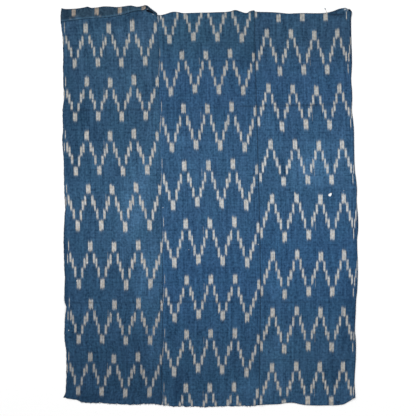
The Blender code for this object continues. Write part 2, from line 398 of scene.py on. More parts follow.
# The three widths, with the columns of their tables:
# rows, from above the top edge down: y of the peaks, x of the first peak, repeat across;
# drift, how much higher the marks lie than even rows would: y, drift;
# stair, how far a column hangs below its peak row: thousandths of a repeat to its right side, and of a row;
# lean, how much lower columns are at the bottom of the cloth than at its top: place across, rows;
# bound, between which places across there are marks; stray, a thin pale line's place across and down;
# indigo and pale, colours from the bottom of the cloth, 0, to its top, 1, the two outer ones first.
leftWidth = {
    "name": "clothLeft", "node": "panel_left", "slot": "indigo_left",
    "left": leftEdge, "right": seamOne, "top": topLeft, "bottom": bottomLeft,
    "sides": {"left": "raw", "right": "seam"}, "ends": {1: "flap", -1: "raw"},
    "rows": [
        (807, -416, 77.5), (592, -413.7, 77.6), (413, -409.4, 78.3), (238, -410.3, 78.5), (60, -405, 79.6),
        (-133, -398, 79.8), (-325, -396, 79.2), (-501, -398, 79.1), (-681, -399.6, 79.1),
    ],
    "drift": [
        (700, 3), (600, 1.5), (559, 1.7), (472, 5.2), (385, 1), (298, 1.3), (212, -0.8), (125, -3.3),
        (38, 1.3), (-49, 2.3), (-136, 1.3), (-223, 1.7), (-310, 1.3), (-396, -3.3), (-483, -1.5),
        (-570, 2.2), (-640, 4),
    ],
    "shade": {"left": leftShade, "right": seamOneShade},
    "stair": [
        (-935, 225), (-888, -8), (-794, 211), (-700, 297), (-595, 447), (-406, 657), (-304, 476),
        (-200, 305), (-102, 229), (97, 3), (208, 216), (287, 305), (389, 445), (585, 648), (694, 454),
        (792, 317), (890, 239), (1094, 21), (1189, 227), (1290, 340), (1390, 469), (1583, 664), (1686, 447),
        (1805, 306), (1903, 204), (2104, -17), (2202, 215), (2316, 306), (2411, 448), (2609, 643),
        (2713, 468), (2825, 322), (2924, 221), (3200, 20),
    ],
    "lean": [(-1, -0.015), (0, 0.004), (1, 0.024), (2, 0.030), (3, 0.040)],
    "bound": (-0.985, 3.065), "stray": (0.725, 0.17),
    "indigo": [(0.08, (0.015, 0.048, 0.096)), (0.92, (0.0245, 0.067, 0.121)), (0.28, (0.02, 0.062, 0.122)),
               (0.50, (0.0270, 0.079, 0.149)), (0.74, (0.0230, 0.067, 0.125))],
    "pale": [(0.08, (0.268, 0.270, 0.271)), (0.92, (0.322, 0.329, 0.322)), (0.48, (0.467, 0.461, 0.449))],
}
middleWidth = {
    "name": "clothMiddle", "node": "panel_middle", "slot": "indigo_middle",
    "left": seamOne, "right": seamTwo, "top": topMiddle, "bottom": bottomMiddle,
    "sides": {"left": "seam", "right": "seam"}, "ends": {1: "hem", -1: "raw"},
    "rows": [
        (675, -97, 79.5), (503, -93, 79.7), (326, -87.5, 79.5), (137, -85, 80.4), (-56, -80, 80.4),
        (-246, -76.5, 80), (-426, -77, 79.7), (-608, -79.5, 79.5), (-789, -80, 79.5),
    ],
    "drift": [
        (640, 0.5), (559, -0.4), (472, 3), (385, 1.7), (298, 0.5), (212, -0.4), (125, -0.4), (38, -1),
        (-136, -1), (-223, -0.7), (-310, 0), (-396, 0), (-483, 0.6), (-570, 1.4), (-640, 4.2),
    ],
    "shade": {"left": seamOneShade, "right": seamTwoShade},
    "stair": [
        (-962, 335), (-932, 210), (-898, -25), (-803, 238), (-702, 373), (-598, 524), (-401, 683),
        (-297, 509), (-196, 359), (-97, 226), (104, 3), (215, 204), (299, 302), (405, 458), (607, 629),
        (714, 465), (807, 333), (908, 197), (1109, -2), (1207, 197), (1312, 335), (1416, 500), (1610, 648),
        (1709, 476), (1831, 311), (1928, 201), (2123, -24), (2225, 212), (2339, 347), (2439, 488),
        (2630, 682), (2735, 548), (2845, 400), (2941, 277), (3120, 70),
    ],
    "lean": [(-1, 0.012), (0, 0.004), (1, 0.004), (2, 0.017), (3, 0.040)],
    "bound": (-1.0, 3.5), "stray": (0.73, 0.12),
    "indigo": [(0.10, (0.019, 0.06, 0.118)), (0.93, (0.022, 0.066, 0.118)), (0.32, (0.023, 0.074, 0.156)),
               (0.58, (0.0290, 0.085, 0.166)), (0.80, (0.0225, 0.069, 0.141))],
    "pale": [(0.08, (0.337, 0.338, 0.334)), (0.92, (0.321, 0.327, 0.323)), (0.50, (0.480, 0.492, 0.493))],
}
rightWidth = {
    "name": "clothRight", "node": "panel_right", "slot": "indigo_right",
    "left": seamTwo, "right": rightEdge, "top": topRight, "bottom": bottomRight,
    "sides": {"left": "seam", "right": "hem"}, "ends": {1: "hem", -1: "hem"},
    "squeezeFrom": 3.37, "squeeze": 2.2,  # from this repeat on, the bundles are narrower by this much
    "rows": [
        (734, 189, 78.2), (578, 191.5, 78.3), (392, 197, 78.8), (208, 204, 79.5), (28, 209, 79.7),
        (-163, 211.5, 79.3), (-350, 211, 78.8), (-537, 209, 78.7), (-722, 208, 78.7),
    ],
    "drift": [
        (559, 1.4), (472, 1.8), (385, 1.5), (298, 1.7), (212, 0), (125, -2.8), (38, -0.5), (-49, 0.8),
        (-136, 0), (-223, -2.1), (-310, -1.5), (-396, -0.6), (-483, 1.7), (-570, 1.7), (-640, 4),
    ],
    "shade": {"left": seamTwoShade, "right": [(-660, 1.15), (540, 1.2), (600, 1.55), (650, 1.6)]},
    "stair": [
        (-407, 610), (-308, 420), (-199, 312), (-101, 161), (92, 7), (188, 194), (303, 338), (403, 452),
        (601, 681), (701, 466), (823, 346), (923, 194), (1118, 1), (1218, 164), (1318, 315), (1414, 443),
        (1621, 643), (1718, 433), (1813, 333), (1920, 192), (2119, 27), (2218, 199), (2302, 350),
        (2410, 447), (2613, 647), (2704, 431), (2803, 323), (2902, 165), (3092, 5), (3198, 168),
        (3296, 315), (3400, 432), (3490, 640), (3600, 450), (3710, 310), (3840, 160), (4200, 0),
    ],
    "lean": [(-0.5, 0.020), (0, 0.011), (0.6, -0.002), (1.6, -0.025), (2.5, -0.010), (3, 0.0)],
    "bound": (-0.52, 4.6), "stray": (1.80, 0.51),
    "indigo": [(0.10, (0.0215, 0.065, 0.125)), (0.93, (0.0225, 0.063, 0.117)), (0.38, (0.023, 0.076, 0.16)),
               (0.60, (0.0295, 0.086, 0.166)), (0.80, (0.0235, 0.071, 0.145))],
    "pale": [(0.08, (0.350, 0.346, 0.334)), (0.92, (0.344, 0.350, 0.344)), (0.55, (0.493, 0.509, 0.515))],
}

# Marks over some breadth: soil and painted shadow, wear and a painted highlight, lighter and darker dye,
# and painted shade among the darker ones. Columns: x, y, half length, half breadth, turn, strength.
# soil, and painted shadow along seams, folds and crease lines
shades = [
    (-158, -565, 16, 5, 90, 0.8), (-160, -637, 14, 6, 90, 0.8), (-487, -632, 10, 7, 60, 1),
    (-479, -320, 17, 7, 75, 0.9), (473, 655, 9, 9, 0, 1.1), (120, 646, 6, 5, 0, 0.7),
    (424, 640, 34, 4.6, 0, 1.5), (418, 651, 26, 3.6, 13, 1.4), (-480, 640, 26, 12, 80, 0.5),
    (-440, 632.5, 24, 3, 8, 0.7), (-385, 637, 14, 3, 0, 0.6), (-483, 648, 12, 3.5, 60, 0.6),
    (418, -657, 26, 3.5, 0, 0.5),
]
# rubbed threads; on the flap's rolled raw edge also a painted highlight
wornAndLit = [
    (450, 657, 16, 5, 20, 0.7), (477, -634, 12, 2.5, 55, 0.5), (-60, -430, 24, 3, 37, 0.25),
    (-441, 629, 10, 7, 0, 1),
]
lighter = [
    (-208, -245, 150, 56, 88, 0.48), (-248, 20, 190, 52, 80, 0.42), (-180, 220, 130, 26, 90, 0.28),
    (-184, -450, 110, 30, 86, 0.34), (-258, 400, 60, 28, 90, 0.2), (355, 120, 62, 62, 0, 0.42),
    (300, 110, 60, 36, 80, 0.24), (430, 190, 60, 34, 60, 0.18), (222, -270, 60, 30, 100, 0.3),
    (225, -500, 110, 55, 80, 0.22), (150, -605, 110, 40, 0, 0.26), (190, 300, 70, 24, 90, 0.18),
    (-85, 230, 50, 22, 0, 0.24), (-245, 560, 60, 34, 20, 0.26), (-150, 595, 26, 16, 0, 0.3),
    (380, 200, 60, 26, 0, 0.2), (200, -385, 26, 16, 0, 0.2), (-27, 93, 40, 20, 0, 0.16),
]
# darker dye; below the flap, in a trough and along a crease this is painted shade
darker = [
    (-472, 642, 34, 22, 0, 0.22), (-335, 613, 120, 14, 4, 0.2), (-262, 628, 46, 16, 18, 0.26),
    (-468, 420, 190, 34, 86, 0.2), (-448, 290, 60, 50, 60, 0.24), (-452, 160, 90, 40, 80, 0.22),
    (-488, -140, 110, 16, 90, 0.34), (-410, -640, 90, 26, 0, 0.18), (-100, -600, 75, 30, 88, 0.26),
    (130, 500, 60, 34, 60, 0.2), (472, -330, 190, 26, 86, 0.24), (472, 500, 60, 24, 90, 0.2),
    (125, 650, 70, 14, 0, 0.22), (240, 130, 60, 18, 115, 0.26), (434, 507, 26, 20, 0, 0.2),
    (457, 205, 24, 16, 0, 0.24), (-65, 245, 90, 14, 172, 0.14), (415, -560, 60, 44, 0, 0.2),
    (-400, 0, 40, 26, 70, 0.2), (143, 40, 24, 14, 90, 0.2), (-385, 250, 40, 16, 90, 0.16),
    (-440, -80, 90, 40, 90, 0.12), (450, -450, 48, 9, 79, 0.3), (487, -62, 56, 9, 88, 0.3),
    (-478, -240, 90, 10, 90, 0.2), (-26, -416, 27, 3.6, 36, 0.3),
]
# Small spots on the cloth, the same columns: soil and painted shade, near-black painted shadow, and bare of
# dye with painted highlights
soiledAndShadedSpots = [
    # painted shade in a gap of seam one and below the flap's edge, among spots of soil
    (-164.7, -324.5, 3.2, 2, 80, 1), (430.2, -653.5, 6, 4.6, 10, 0.7), (424, -651, 4, 3, 0, 0.5),
    (470.5, 573, 9, 2.2, 90, 0.6), (-167.3, 635, 9, 1.5, 90, 0.85), (-272, 638, 4.5, 2.4, 10, 0.7),
    (-241, 640, 3.4, 2.6, 40, 0.7), (-333, 636, 9, 2, 5, 0.5),
]
hollowShadowSpots = [  # painted shadow, near black, in the open pocket at the flap's end and in the right top corner
    (-205, 652.6, 8.5, 4.2, -20, 1), (-194, 648.4, 8, 3, -26, 1), (-181.6, 644.6, 4.2, 2.4, -35, 0.9),
    (468, 655, 6, 5, 0, 0.8),
]
bareAndLitSpots = [
    (-155.6, -4.2, 2.4, 1.4, 30, 0.7), (-69.5, -144.5, 1.8, 1.3, 0, 0.6), (-470.3, -414, 2.4, 1.5, 60, 0.9),
    (162.7, -127.1, 2.2, 1.4, 90, 0.8), (447.9, 52.3, 1.8, 1.3, 0, 0.6), (155.3, 368.6, 2.2, 1.3, 90, 0.6),
    # the first two spots on the next line are painted highlights on the flap's end and the main sheet's edge
    (-206.4, 659, 3, 2.2, 0, 0.45), (-188.5, 640.6, 3, 1.6, -35, 0.4), (452.5, 657.2, 5.5, 2, 20, 0.7),
    (-171.6, 627, 15, 1.1, 92, 0.62), (-162.2, 632, 8, 2.2, 90, 0.72),
]


def patch(table, x, y):
    # the strongest mark of a table at a place, soft towards its outline
    return max(spot[5] * (1 - ease(fromCentre(x, y, spot) - 0.35)) for spot in table)


def finished(shape, name):
    mesh = bpy.data.meshes.new(name)
    shape.to_mesh(mesh)
    shape.free()
    return mesh


def newObject(name, data):
    item = bpy.data.objects.new(name, data)
    bpy.context.scene.collection.objects.link(item)
    return item


def evaluated(piece):
    return bpy.data.meshes.new_from_object(piece.evaluated_get(bpy.context.evaluated_depsgraph_get()))


ageNames = ("shade", "wornAndLit", "fadedAndShaded", "reverse")  # vertex attributes of the sheets


def sheetMesh(width):
    spec = width.spec
    across, up = len(width.columns) - 1, len(width.rows) - 1
    grid = bmesh.new()
    bmesh.ops.create_grid(grid, x_segments=across, y_segments=up, size=0.5)
    patternMap, threadMap = grid.loops.layers.uv.new("pattern"), grid.loops.layers.uv.new("thread")
    ages = {name: grid.verts.layers.float.new(name) for name in ageNames}
    places = {}
    for vertex in grid.verts:
        column = width.columns[round((vertex.co.x + 0.5) * across)]
        row = width.rows[round((vertex.co.y + 0.5) * up)]
        point, flat = width.place(column, row)
        vertex.co = [mm * value for value in point]
        thread = (flat[0] - at(spec["left"], flat[1]), flat[1])
        places[vertex.index] = (patternPlace(spec, *flat), [mm * value for value in thread])
        vertex[ages["shade"]] = edgeShade(width, column, row, point)
        vertex[ages["wornAndLit"]] = edgeWearAndHighlight(width, row, point)
        vertex[ages["fadedAndShaded"]] = patch(lighter, *point[:2]) - patch(darker, *point[:2])
        vertex[ages["reverse"]] = 1.0 * bool(row.get("over") and row.get("turn", 90) > -20)
    for face in grid.faces:
        face.smooth = True
        for loop in face.loops:
            pattern, thread = places[loop.vert.index]
            loop[patternMap].uv = pattern
            loop[threadMap].uv = thread
    bmesh.ops.recalc_face_normals(grid, faces=grid.faces)
    return finished(grid, spec["name"])


soil = {  # strengths of soil and painted shadow, and reaches in from the edge
    "turn": 0.95,
    "end": 0.8, "endReach": 4.6,
    "seamReach": 2.8,
    "sideReach": 5.0,
    "reachOfStrength": 4.4,  # a side with much soil is soiled further in
    "creaseReach": 6.5, "creaseBelow": 1.0,  # the shadow lies just below a crease's ridge
    "flapShadow": 0.55,
}


def edgeShade(width, column, row, point):
    # soil and painted shadow along folds, seams, hems and creases
    side, station = column[:2]
    x, y = point[:2]
    found = [patch(shades, x, y)]
    if side != "field":
        strength = at(width.spec["shade"][side], y)
        reach = soil["seamReach"]
        if strength > 1 or not width.turned(side):
            reach = max(soil["sideReach"], soil["reachOfStrength"] * strength)
        found.append(strength * (1 - ease(station / reach)))
    # painted shade over the rounded fold of a turned edge
    if "turn" in row or "under" in row:
        found.append(soil["turn"])
    elif "inset" in row:
        found.append(soil["end"] * (1 - ease(row["inset"] / soil["endReach"])))
    if "level" in row:
        below, reach = soil["creaseBelow"], soil["creaseReach"]
        found += [crease[6] * creaseShare(crease, x, y, below, reach) for crease in creases]
    elif "inset" in row and width.spec["ends"][row["end"]] == "flap":
        under = at(flapEdge, x) - y  # painted shadow just below the flap's raw edge
        found.append(soil["flapShadow"] * ease((under + 3) / 3) * (1 - ease((under - 1.5) / 4.5)))
    return max(found)


def edgeWearAndHighlight(width, row, point):
    # threads rubbed pale along the flap's raw edge, where the marks have gone too, and a painted highlight
    # where the rolled edge catches the light
    x, y = point[:2]
    pale = patch(wornAndLit, x, y)
    if "flap" in row:
        inside = (1 - row["flap"]) * (at(width.spec["top"], x) - at(flapLift, x) - at(flapEdge, x))
        right = ease((x + 350) / 60)  # the band is broader and fainter there
        band = (0.9 - 0.45 * right) * (1 + 0.35 * waver(x / 30, 2.2, 7.7)) * (1 - ease((x + 240) / 20))
        pale = max(pale, band * (1 - ease((inside - 1.5 - 2 * right) / (4.0 + 3 * right))))
    return pale


holes = [  # columns: x, y, length, breadth, turn, taper; the moth hole, then pin holes
    (403.2, 39.8, 14.5, 9, 52, 0.45), (-403.5, -139.8, 4.6, 3.6, 80, 0.1),
    (-408.5, -188.2, 5, 4.2, 20, 0.1), (-442.9, -248.7, 4.6, 3.8, 110, 0.1),
]


def cutHoles(piece, found):
    # ragged plugs of the holes' outlines, taken away from the cloth
    tool = bmesh.new()
    for number, (x0, y0, length, breadth, turn, taper) in enumerate(found):
        made = bmesh.ops.create_cone(tool, cap_ends=True, segments=22, radius1=1, radius2=1, depth=20 * mm)
        c, s = math.cos(math.radians(turn)), math.sin(math.radians(turn))
        for vertex in made["verts"]:
            x, y = vertex.co.x, vertex.co.y
            ragged = 1 + 0.16 * waver(2.1 * x + 5 * number, 2.1 * y, 1.7)
            a, b = x * ragged * length / 2, y * ragged * breadth / 2 * (1 - taper * x)
            vertex.co.x, vertex.co.y = mm * (x0 + a * c - b * s), mm * (y0 + a * s + b * c)
    plugs = newObject("plugs", finished(tool, "plugs"))
    cut = piece.modifiers.new("Holes", "BOOLEAN")
    cut.operation, cut.solver, cut.object = "DIFFERENCE", "EXACT", plugs
    return plugs


def addPiece(name, mesh, material):
    piece = newObject(name, mesh)
    mesh.materials.clear()
    mesh.materials.append(material)
    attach(piece, "root")
    return piece


# Node helpers: wires or plain values go in, and a wire comes out
class Wire:
    # an output socket; each sum with it adds a math node to its tree

    def __init__(self, socket):
        self.socket = socket

    def __add__(self, other):
        return reckon("ADD", self, other)

    def __sub__(self, other):
        return reckon("SUBTRACT", self, other)

    def __mul__(self, other):
        return reckon("MULTIPLY", self, other)

    def __truediv__(self, other):
        return reckon("DIVIDE", self, other)


def connect(value, socket):
    if isinstance(value, Wire):
        socket.id_data.links.new(value.socket, socket)
    else:
        socket.default_value = value


def newNode(kind, values):
    # a node in the tree of the first wire among the values
    tree = next(value for value in values if isinstance(value, Wire)).socket.id_data
    return tree.nodes.new("ShaderNode" + kind)


def feed(node, values, output=0):
    for key, value in values.items():
        connect(value, node.inputs[key])
    return Wire(node.outputs[output])


def reckon(operation, *values):
    node = newNode("Math", values)
    node.operation = operation
    return feed(node, dict(enumerate(values)))


def scaled(value, factor, offset):
    return reckon("MULTIPLY_ADD", value, factor, offset)


def smoothStep(value, low, high, bottom=0.0, top=1.0):
    node = newNode("MapRange", [value])
    node.interpolation_type = "SMOOTHSTEP"
    values = {"Value": value, "From Min": low, "From Max": high, "To Min": bottom, "To Max": top}
    return feed(node, values, "Result")


def mixColour(share, first, second, mode="MIX"):
    node = newNode("Mix", [share, first, second])
    node.data_type, node.blend_type = "RGBA", mode
    return feed(node, {0: share, 6: first, 7: second}, 2)


def multiplied(first, second):
    return mixColour(1.0, first, second, "MULTIPLY")


def combine(x, y, z=0.0):
    return feed(newNode("CombineXYZ", [x, y]), {0: x, 1: y, 2: z})


def split(vector):
    node = newNode("SeparateXYZ", [vector])
    connect(vector, node.inputs[0])
    return [Wire(socket) for socket in node.outputs]


def noiseNode(vector, scale, detail=2.0, roughness=0.5):
    values = {"Vector": vector, "Scale": scale, "Detail": detail, "Roughness": roughness}
    return feed(newNode("TexNoise", [vector]), values, "Fac")


def perThread(number):
    node = newNode("TexWhiteNoise", [number])
    node.noise_dimensions = "1D"
    return feed(node, {"W": number}, "Value")


def bumped(height, distance, strength=1.0):
    return feed(newNode("Bump", [height]), {"Strength": strength, "Distance": distance, "Height": height})


def uvMap(tree, name):
    node = tree.nodes.new("ShaderNodeUVMap")
    node.uv_map = name
    return Wire(node.outputs[0])


def attribute(tree, name):
    node = tree.nodes.new("ShaderNodeAttribute")
    node.attribute_name = name
    return Wire(node.outputs["Fac"])


def newMaterial(name):
    material = bpy.data.materials.new(name)
    material.use_nodes = True
    return material, material.node_tree.nodes["Principled BSDF"].inputs


def newGroup(name, vectors, numbers, results):
    group = bpy.data.node_groups.new(name, "ShaderNodeTree")
    kinds = ((vectors, "INPUT", "Vector"), (numbers, "INPUT", "Float"), (results, "OUTPUT", "Float"))
    for names, side, kind in kinds:
        for socketName in names:
            group.interface.new_socket(socketName, in_out=side, socket_type="NodeSocket" + kind)
    given = {socket.name: Wire(socket) for socket in group.nodes.new("NodeGroupInput").outputs}
    return group, given, group.nodes.new("NodeGroupOutput").inputs


def useGroup(group, values):
    node = newNode("Group", values.values())
    node.node_tree = group
    feed(node, values)
    return {socket.name: Wire(socket) for socket in node.outputs}


zigzag = {
    "halfMark": 0.0825,  # half the height of a mark, in rows
    "bleed": 0.027,  # softness of its ends, in rows
    "halo": 0.070,  # how far past them the cloth is a little lighter
    "haloShare": 0.24,
    "slip": 0.030,  # how far single threads slipped, in rows
    "together": 1.8,  # how much of that neighbouring threads slip together
    "bundleSlip": 0.022,  # how far whole bundles of threads slipped
    "bundle": 0.1,  # breadth of a bundle, in repeats
    "lengthSlip": 0.014,  # how much the marks' ends differ, in rows
    "gap": 0.013,  # how far in from its sides a mark took some dye, in repeats
    "leastStep": 0.03,  # a smaller step from column to column, in rows, has no side
    "edgeDye": 0.50,  # how much dye the sides took
    "caught": 0.35,  # share of threads that caught some dye
    "palest": 0.55,  # how much of a mark is left on the worst of them
    "plainEdge": 0.012,  # the first and last marks end softly over this, in repeats
    "stray": 0.42,  # strength of the stray line
}
yarn = {  # metres from thread to thread, and how much single threads differ in tone
    "warpPitch": 0.00072, "weftPitch": 0.00085, "warpTone": 0.35, "weftTone": 0.24,
}
uneven = {  # columns: noise scale across and along, detail, roughness, share in the tone
    "Grain": (150.0, 120.0, 1.2, 0.5, 1.50),
    "Streak": (88.0, 11.0, 2.6, 0.66, 1.35),
    "Slubs": (34.0, 260.0, 1.5, 0.6, 0.55),
}


def stairGroup(name, chart):
    # how far the column at this place hangs below its peak row
    group, given, out = newGroup(name, [], ["Across"], ["Hang"])
    chart = [(end / 1000, depth / 1000) for end, depth in chart]
    hang = chart[0][1]
    for (end, depth), (_, following) in zip(chart, chart[1:]):
        hang = scaled(reckon("GREATER_THAN", given["Across"], end), following - depth, hang)
    connect(hang, out["Hang"])
    return group


def kasuriGroup():
    # the marks that were bound off on the warp before dyeing
    group, given, out = newGroup(
        "kasuriMarks", ["Pattern", "Thread"],
        ["Hang", "Mark Side", "First Bound", "Last Bound", "Stray Across", "Stray Down"], ["Marks"],
    )
    across, down, _ = split(given["Pattern"])
    number = reckon("FLOOR", split(given["Thread"])[0] / yarn["warpPitch"])
    drift = (noiseNode(combine(number * 0.23, down), 1.7, 1.0) - 0.5) * zigzag["together"]
    place = down - given["Hang"] + (perThread(number) - 0.5 + drift) * zigzag["slip"]
    row = reckon("ROUND", place)
    unit = reckon("FLOOR", across / zigzag["bundle"])
    # the odd factors below keep the random draws of the rows apart
    jump = (perThread(scaled(row, 57.3, unit)) - 0.5) * zigzag["bundleSlip"]
    longer = perThread(scaled(row, 83.9, unit)) - 0.5
    away = scaled(longer, -zigzag["lengthSlip"], reckon("ABSOLUTE", place - row + jump))
    half, bleed = zigzag["halfMark"], zigzag["bleed"]
    dyed = scaled(given["Mark Side"], -zigzag["edgeDye"], 1.0)
    caught = smoothStep(perThread(scaled(row, 31.7, number)), 0.0, zigzag["caught"], zigzag["palest"], 1.0)
    marks = smoothStep(away, half - bleed, half + bleed, 1.0, 0.0) * (dyed * caught)
    halo = smoothStep(away, half, half + zigzag["halo"], zigzag["haloShare"], 0.0)
    marks = reckon("MAXIMUM", marks, halo * caught)
    for edge, side in (("First Bound", 1), ("Last Bound", -1)):  # the outermost threads were dyed plain
        marks *= smoothStep(across, given[edge], given[edge] + side * zigzag["plainEdge"])
    stray = smoothStep(reckon("ABSOLUTE", across - given["Stray Across"]), 0.010, 0.018, 1.0, 0.0)
    below = down - given["Stray Down"]
    below = reckon("ABSOLUTE", below - reckon("ROUND", below))
    stray *= smoothStep(below, 0.04, 0.10, zigzag["stray"], 0.0)
    connect(reckon("MAXIMUM", marks, stray), out["Marks"])
    return group


def weaveGroup():
    # plain weave: each warp thread goes over and under the wefts, both spun by hand and unevenly dyed
    names = ["Height", "Weft On Top", "Grain", "Slubs", "Tone"]
    group, given, out = newGroup("plainWeave", ["Thread"], [], names)
    x, y, _ = split(given["Thread"])
    warp, weft = x / yarn["warpPitch"], y / yarn["weftPitch"]
    warpRound, weftRound = [reckon("ABSOLUTE", reckon("SINE", thread * math.pi)) for thread in (warp, weft)]
    warpNumber, weftNumber = reckon("FLOOR", warp), reckon("FLOOR", weft)
    results = {
        "Height": warpRound * weftRound,
        "Weft On Top": reckon("MODULO", reckon("ABSOLUTE", warpNumber + weftNumber), 2.0),
        "Tone": 1.0,
    }
    for name, (scaleX, scaleY, detail, roughness, strength) in uneven.items():
        results[name] = noiseNode(combine(x * scaleX, y * scaleY), 1.0, detail, roughness)
        results["Tone"] = scaled(results[name] - 0.5, strength, results["Tone"])
    for number, strength in ((warpNumber, yarn["warpTone"]), (weftNumber, yarn["weftTone"])):
        results["Tone"] = scaled(perThread(number) - 0.5, strength, results["Tone"])
    for name in names:
        connect(results[name], out[name])
    return group


def heightRamp(share, stops):
    node = newNode("ValToRGB", [share])
    node.color_ramp.interpolation = "EASE"
    for i, (position, colour) in enumerate(stops):
        stop = node.color_ramp.elements[i] if i < 2 else node.color_ramp.elements.new(position)
        stop.position, stop.color = position, (*colour, 1.0)
    return feed(node, {0: share})


def spotMask(thread, spec, spots):
    # where any of the small spots of a table lies on this width, its outline a little uneven
    found = 0.0
    wander = scaled(noiseNode(thread, 420.0, 1.0), 0.6, -0.30)
    for x, y, length, breadth, turn, strength in spots:
        if at(spec["left"], y) < x < at(spec["right"], y):
            mapping = newNode("Mapping", [thread])
            mapping.vector_type = "TEXTURE"
            place = feed(mapping, {
                "Vector": thread, "Location": (mm * (x - at(spec["left"], y)), mm * y, 0.0),
                "Rotation": (0.0, 0.0, math.radians(turn)), "Scale": (mm * length, mm * breadth, 1.0),
            })
            measure = newNode("VectorMath", [place])
            measure.operation = "LENGTH"
            away = feed(measure, {0: place}, "Value") + wander
            found = reckon("MAXIMUM", found, smoothStep(away, 0.7, 1.15, strength, 0.0))
    return found


tones = {  # shared by the three widths; tint, tan, dyed and reverse multiply what they lie on
    "tint": (1.02, 0.96, 0.99, 1.0), "tan": (1.03, 0.96, 0.87, 1.0), "dyed": (0.70, 0.76, 0.82, 1.0),
    # the near-black colour that ends the next line is painted shadow
    "reverse": (0.80, 0.69, 0.62, 1.0), "hollow": (0.001, 0.003, 0.008, 1.0),
    # on the next line, colours for rubbed threads and a painted highlight, for soil and painted shade, and
    # for bare threads and painted highlights
    "rubbedAndLit": (0.10, 0.21, 0.31, 1.0), "soil": (0.006, 0.018, 0.040, 1.0), "bare": (0.42, 0.44, 0.45, 1.0),
    "rubbedAndLitShare": 0.20,  # how much of its colour shows where the cloth is rubbed and on the painted highlight
    "soilAndShading": 0.62,  # and on soiled folds and painted shade
    "weftDarker": 0.14,  # in the marks, whose weft was dyed
    "swing": (1.25, 1.0, 0.86),  # how strongly red, green and blue follow the tone
    "halfLength": 0.67,  # from the middle of the cloth to its top or bottom, in metres
}


def cottonMaterial(spec, kasuri, weave):
    material, shader = newMaterial(spec["slot"])
    pattern, thread = [uvMap(material.node_tree, name) for name in ("pattern", "thread")]
    age = {name: attribute(material.node_tree, name) for name in ageNames}
    across, (x, y, _) = split(pattern)[0], split(thread)
    stair = stairGroup("stair_" + spec["slot"], spec["stair"])
    hang, markSide = useGroup(stair, {"Across": across})["Hang"], 0.0
    for offset in (-zigzag["gap"], zigzag["gap"]):  # is this thread near a side of its mark?
        step = reckon("ABSOLUTE", useGroup(stair, {"Across": across + offset})["Hang"] - hang)
        markSide = reckon("MAXIMUM", markSide, reckon("GREATER_THAN", step, zigzag["leastStep"]))
    marks = useGroup(kasuri, {
        "Pattern": pattern, "Thread": thread, "Hang": hang, "Mark Side": markSide,
        "First Bound": spec["bound"][0], "Last Bound": spec["bound"][1],
        "Stray Across": spec["stray"][0], "Stray Down": spec["stray"][1],
    })["Marks"]
    woven = useGroup(weave, {"Thread": thread})
    span = {"Value": y, "From Min": -tones["halfLength"], "From Max": tones["halfLength"]}
    height = feed(newNode("MapRange", [y]), span, "Result")  # 0 at the cloth's bottom edge, 1 at its top
    tone = woven["Tone"] * smoothStep(noiseNode(thread, 21.0, 3.0, 0.6), 0.3, 0.7, 0.93, 1.07)
    # lighter and darker dye, and painted shade in places
    tone *= age["fadedAndShaded"] + 1.0
    indigo = heightRamp(height, spec["indigo"])
    tinted = smoothStep(noiseNode(thread, 13.0, 2.0, 0.55), 0.35, 0.65)
    indigo = mixColour(tinted, indigo, multiplied(indigo, tones["tint"]))
    swing = [scaled(tone, strength, 1 - strength) for strength in tones["swing"]]
    indigo = multiplied(indigo, combine(*swing))
    paleTone = smoothStep(woven["Grain"], 0.25, 0.75, 0.78, 1.20)
    pale = multiplied(heightRamp(height, spec["pale"]), combine(paleTone, paleTone, paleTone))
    warm = smoothStep(noiseNode(combine(x * 170.0, y * 90.0), 1.0, 1.0), 0.40, 0.62)
    pale = mixColour(warm, pale, multiplied(pale, tones["tan"]))
    crossing = scaled(woven["Weft On Top"], -tones["weftDarker"], 1.0)
    marks *= crossing * smoothStep(woven["Slubs"], 0.3, 0.7, 0.82, 1.0)
    greyed = multiplied(pale, tones["dyed"])  # where the dye crept in
    colour = mixColour(smoothStep(marks, 0.0, 0.8), indigo, greyed)
    colour = mixColour(smoothStep(marks, 0.4, 0.95), colour, pale)
    colour = mixColour(age["reverse"], colour, multiplied(colour, tones["reverse"]))
    # rubbed threads, and a painted highlight where the flap's rolled edge catches the light
    colour = mixColour(age["wornAndLit"], colour, mixColour(tones["rubbedAndLitShare"], indigo, tones["rubbedAndLit"]))
    # bare threads, two of the spots painted highlights; spots of soil and painted shade; near-black painted
    # shadow
    bare, soiledAndShaded, hollow = [spotMask(thread, spec, spots) for spots in (bareAndLitSpots, soiledAndShadedSpots, hollowShadowSpots)]
    # soil and painted shadow along folds, seams, hems and creases, spots of soil and painted shade, and
    # near-black painted shadow
    shade = age["shade"] * tones["soilAndShading"]
    for share, name in ((bare, "bare"), (shade, "soil"), (soiledAndShaded, "soil"), (hollow, "hollow")):
        colour = mixColour(share, colour, tones[name])
    connect(colour, shader["Base Color"])
    connect(smoothStep(woven["Grain"], 0.2, 0.8, 0.84, 0.97), shader["Roughness"])
    for name, value in (("Specular IOR Level", 0.10), ("Sheen Weight", 0.02), ("Sheen Roughness", 0.5)):
        shader[name].default_value = value
    relief = scaled(woven["Slubs"], 2.0, scaled(woven["Grain"], 2.4, woven["Height"]))
    connect(bumped(relief, 0.00025, 0.5), shader["Normal"])
    return material


